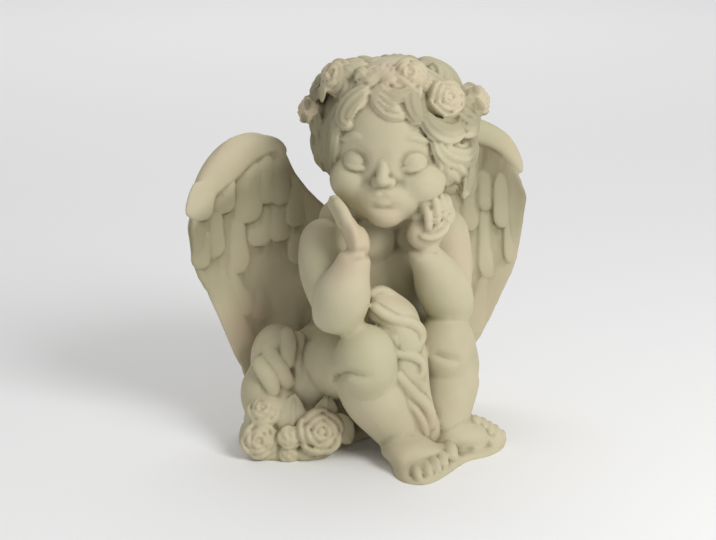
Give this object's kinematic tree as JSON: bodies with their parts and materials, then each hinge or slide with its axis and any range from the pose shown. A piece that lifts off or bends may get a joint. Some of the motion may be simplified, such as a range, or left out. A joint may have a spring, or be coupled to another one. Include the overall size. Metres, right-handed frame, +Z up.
{
  "type": "angel figurine",
  "caption": "Seated cherub figurine cast in one piece, chin in hands, with a rose wreath, feathered wings and a flowered mound.",
  "frame": {"origin": "on the ground under the middle of the bounding box", "axes": "+Z up, the figure faces -Y, its own left wing points to +X"},
  "size_m": [0.1428, 0.0938, 0.147],
  "materials": {
    "cast": "matte cream cast resin, lightly grimed in the recesses"
  },
  "bodies": {
    "root": {"angel_figurine": "cast"}
  },
  "joints": []
}
